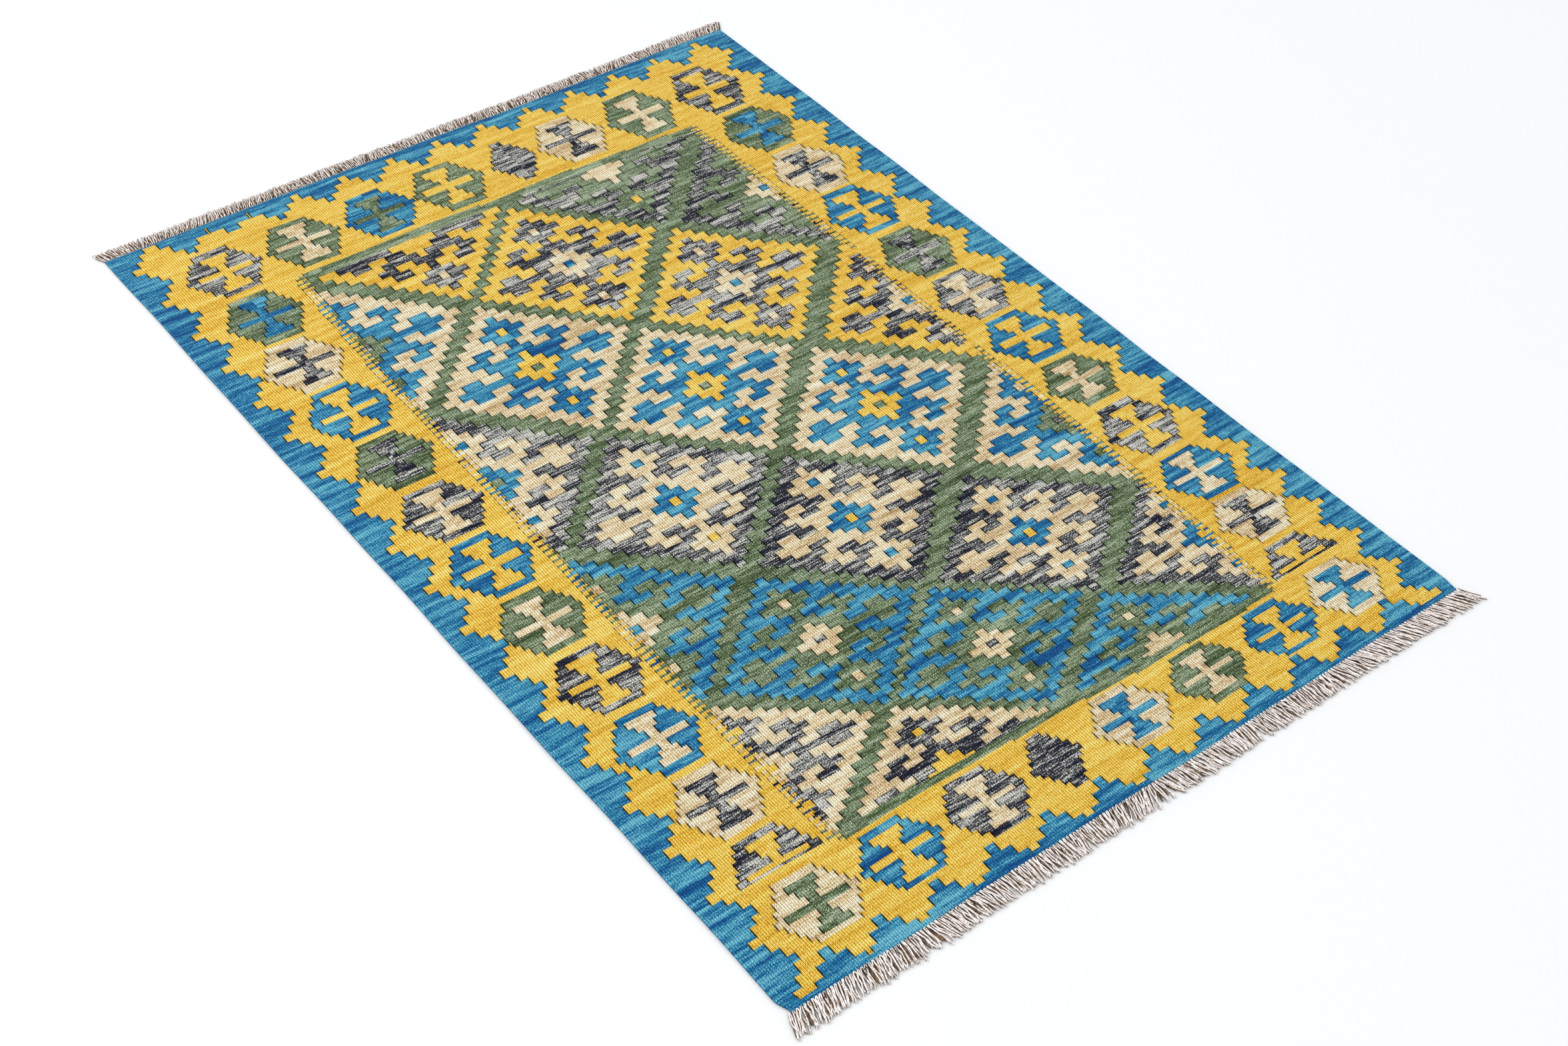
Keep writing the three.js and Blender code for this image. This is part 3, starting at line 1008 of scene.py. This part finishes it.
def sweep_tube(line, radii):
    """Rings of points round a line, and the quads between them, closed by a flat cap at each end."""
    along = np.gradient(line, axis=0)
    along /= np.linalg.norm(along, axis=1)[:, None]
    up = np.array([0.0, 0.0, 1.0])
    side = np.cross(along, up)
    side /= np.linalg.norm(side, axis=1)[:, None]
    over = np.cross(side, along)
    angles = 2 * np.pi * np.arange(TUBE_SIDES) / TUBE_SIDES
    ring = np.cos(angles)[None, :, None] * side[:, None, :] + np.sin(angles)[None, :, None] * over[:, None, :]
    points = line[:, None, :] + ring * radii[:, None, None]
    last = (len(line) - 1) * TUBE_SIDES
    a = np.arange(last)
    b = np.where(a % TUBE_SIDES == TUBE_SIDES - 1, a + 1 - TUBE_SIDES, a + 1)
    quads = np.stack([a, b, b + TUBE_SIDES, a + TUBE_SIDES], axis=1).tolist()
    for first, order in ((0, (3, 2, 1, 0)), (last, (0, 1, 2, 3))):
        quads.append([first + number for number in order])
        quads.append([first + (number + 3) % TUBE_SIDES for number in order])
    return points.reshape(-1, 3), np.array(quads)


def tube_lengths(line):
    """How far each point of a line lies from its start."""
    steps = np.linalg.norm(np.diff(line, axis=0), axis=1)
    return np.concatenate([[0], np.cumsum(steps)])


# %% The fringe's yarn
def make_yarn(name, dark, middle, light, root_shade):
    """Two plies twisted together, with painted light on the yarn's crest and painted shade on its flanks,
    where yarns lie side by side.
    """
    material = bpy.data.materials.new(name)
    wiring = Wiring(material)
    plus, minus, times = wiring.plus, wiring.minus, wiring.times
    turn, along = wiring.weave_place()
    # the twist of the ply: a bump, and a little painted shade in the grooves between its turns
    ply = wiring.humps(plus(times(along, 1 / PLY_PITCH), turn))
    stain = wiring.noise(wiring.vector(wiring.stored("skein"), times(along, 190.0), turn), 3.0)
    # painted light and shade: lighter on the top and bottom of the yarn, darker on its two flanks
    crest = wiring.humps(times(turn, 2.0))
    shade = plus(times(ply, 0.09), times(stain, 1.15))
    shade = plus(shade, times(minus(crest, 0.95), 0.70))
    # painted shade that grows along the strand; the dark strands run from their tip, so it darkens them
    # towards the cloth's edge
    shade = minus(shade, times(along, root_shade))
    colour = wiring.ramp(shade, ((0.0, dark), (0.38, middle), (0.75, light)))
    wiring.finish(colour, ply, relief=0.5, roughness=0.95, specular=0.15, sheen=0.1)
    return material


LIGHT_YARN = ((0.05, 0.03, 0.02), (0.45, 0.35, 0.29), (0.93, 0.89, 0.86))
# painted shadow: the colours of the dark strands that fill the gaps between the loops
GAP_SHADOW_YARN = ((0.010, 0.005, 0.003), (0.085, 0.048, 0.025), (0.30, 0.20, 0.11))
# painted shade: the far fringe's yarn is a darker, browner copy of the light yarn, for its shadowed gaps
SHADED_FAR_YARN = ((0.04, 0.022, 0.014), (0.36, 0.26, 0.205), (0.88, 0.81, 0.76))
yarn_materials = {
    "near": make_yarn("fringe_yarn_near", *LIGHT_YARN, root_shade=0.0),
    "far": make_yarn("fringe_yarn_far", *SHADED_FAR_YARN, root_shade=0.0),
}
# the painted shadow strands, which also darken towards the cloth's edge
gap_shadow_material = make_yarn("painted_gap_shadow", *GAP_SHADOW_YARN, root_shade=16.0)

# %% [markdown]
# Between the light loops lie shorter, thinner dark strands of painted shadow. They fill the gaps
# with brown, and keep the row of loops from looking like a comb.

# %% Build a fringe
UNDERLAY_RADIUS = 0.0010
UNDERLAY_POINTS = 4


def add_tube(parts, line, radii, number, material_index):
    """Sweeps one strand and appends it to the lists of a fringe."""
    points, quads = sweep_tube(line, radii)
    distance = np.repeat(tube_lengths(line), TUBE_SIDES)
    around = np.tile(np.arange(TUBE_SIDES) / TUBE_SIDES, len(line))
    uv = np.stack([around, distance], axis=1)[quads]
    wraps = uv[:, :, 0].max(1, keepdims=True) - uv[:, :, 0] > 0.5
    uv[:, :, 0] = np.where(wraps, uv[:, :, 0] + 1, uv[:, :, 0])
    start = sum(len(block) for block in parts["points"])
    parts["points"].append(points)
    parts["quads"].append(quads + start)
    parts["uv"].append(uv)
    parts["number"].append(np.full(len(quads), number))
    parts["material"].append(np.full(len(quads), material_index))


def add_loop(parts, x, edge_y, lean, facts, number):
    """Adds one light loop and, beside it, two dark strands of painted shadow."""
    lengths = facts["length"] + rng.normal(0, 0.5, 2) * facts["ragged"]
    line = loop_line(lean, lengths, facts)
    radii = facts["radius"] * rng.uniform(0.80, 1.04) * rng.uniform(0.92, 1.08, len(line))
    radii[[0, -1]] *= rng.uniform(0.80, 1.35, 2)
    line[:, 2] = np.maximum(line[:, 2], radii)
    add_tube(parts, line + np.array([x, edge_y, 0]), radii, number, 0)
    # the two dark strands are painted shadow, lying in the gaps beside the loop
    share = np.linspace(1, 0, UNDERLAY_POINTS)
    for side in (-1, 1):
        length = facts["length"] * rng.uniform(0.72, 0.93)
        across = side * LOOP_PITCH / 4 + LOOP_PITCH / 4 + (lean + rng.normal(0, 0.12)) * share * length
        height = facts["radius"] * (1.1 + ROOT_RISE * (1 - share)) + 0.0002 * np.sin(math.pi * share)
        line = np.stack([across, -share * length, height], axis=1)
        radii = np.full(UNDERLAY_POINTS, UNDERLAY_RADIUS)
        add_tube(parts, line + np.array([x, edge_y, 0]), radii, number, 1)


def build_fringe(end):
    """Builds the fringe of one end as a single piece that rides on that end's panel."""
    facts = FRINGES[end]
    outward = -1 if end == "near" else 1
    edge = CLOTH_NEAR if end == "near" else CLOTH_FAR
    lock_leans = lock_lean(LOOPS)
    parts = {key: [] for key in ("points", "quads", "uv", "number", "material")}
    for loop in range(LOOPS):
        x = CLOTH_LEFT + (loop + 0.5) * LOOP_PITCH
        lean = np.interp((x - CLOTH_LEFT) / CELL, facts["cells"], facts["leans"])
        lean = lean + LOCK_LEAN * lock_leans[loop]
        add_loop(parts, x, -edge_wander(x, end) * outward, lean, facts, loop * 1.7)
    points, quads, uv, number, material = (np.concatenate(parts[key]) for key in parts)
    points[:, 1] = edge - outward * points[:, 1]
    if end == "far":  # mirrored, so its faces have to be turned over
        quads, uv = quads[:, ::-1], uv[:, ::-1]
    mesh = bpy.data.meshes.new(f"fringe_loops_{end}")
    fill_mesh(mesh, points, quads)
    store_numbers(mesh, "skein", "FACE", number)
    store_weave_map(mesh, uv)
    piece = make_piece(mesh, material, (yarn_materials[end], gap_shadow_material))
    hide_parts(f"fringe_{end}")
    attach(piece, f"{end}_end")
    print(piece.name, len(mesh.polygons), "faces")
    return piece


near_fringe = build_fringe("near")
far_fringe = build_fringe("far")

# %% The stretches of the rug
near_border = lay_stretch("border_near", WHOLE_SPAN, (NEAR_BORDER_LINE, ROWS),
                          ["gold_border_near", "blue_guard_near"])
far_border = lay_stretch("border_far", WHOLE_SPAN, (0, FAR_BORDER_LINE),
                         ["gold_border_far", "blue_guard_far"])
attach(near_border, "near_end")
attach(far_border, "far_end")

for name, span, slot, end_nodes in (
    ("field_left", (BORDER_LEFT, FIELD_MIDDLE), "field_weave", lambda panel: [f"field_{panel}"]),
    ("field_right", (FIELD_MIDDLE, BORDER_RIGHT), "field_weave", lambda panel: [f"field_{panel}"]),
    ("border_left", LEFT_SPAN, "gold_weave", lambda panel: side_nodes("left", panel)),
    ("border_right", RIGHT_SPAN, "gold_weave", lambda panel: side_nodes("right", panel)),
):
    near_piece = lay_stretch(f"{name}_near", span, (NEAR_CUT, NEAR_BORDER_LINE), end_nodes("near_end"))
    across_fold(near_piece)
    far_piece = lay_stretch(f"{name}_far", span, (FAR_BORDER_LINE, FAR_CUT), end_nodes("far_end"))
    across_fold(far_piece)

middle_near = lay_stretch("middle_near", WHOLE_SPAN, (STRIP_LINE, NEAR_CUT),
                          panel_nodes("near_middle"))
across_fold(middle_near)
middle_far = lay_stretch("middle_far", WHOLE_SPAN, (FAR_CUT, STRIP_LINE),
                         panel_nodes("far_middle") + panel_nodes("middle_fold"))
across_fold(middle_far)
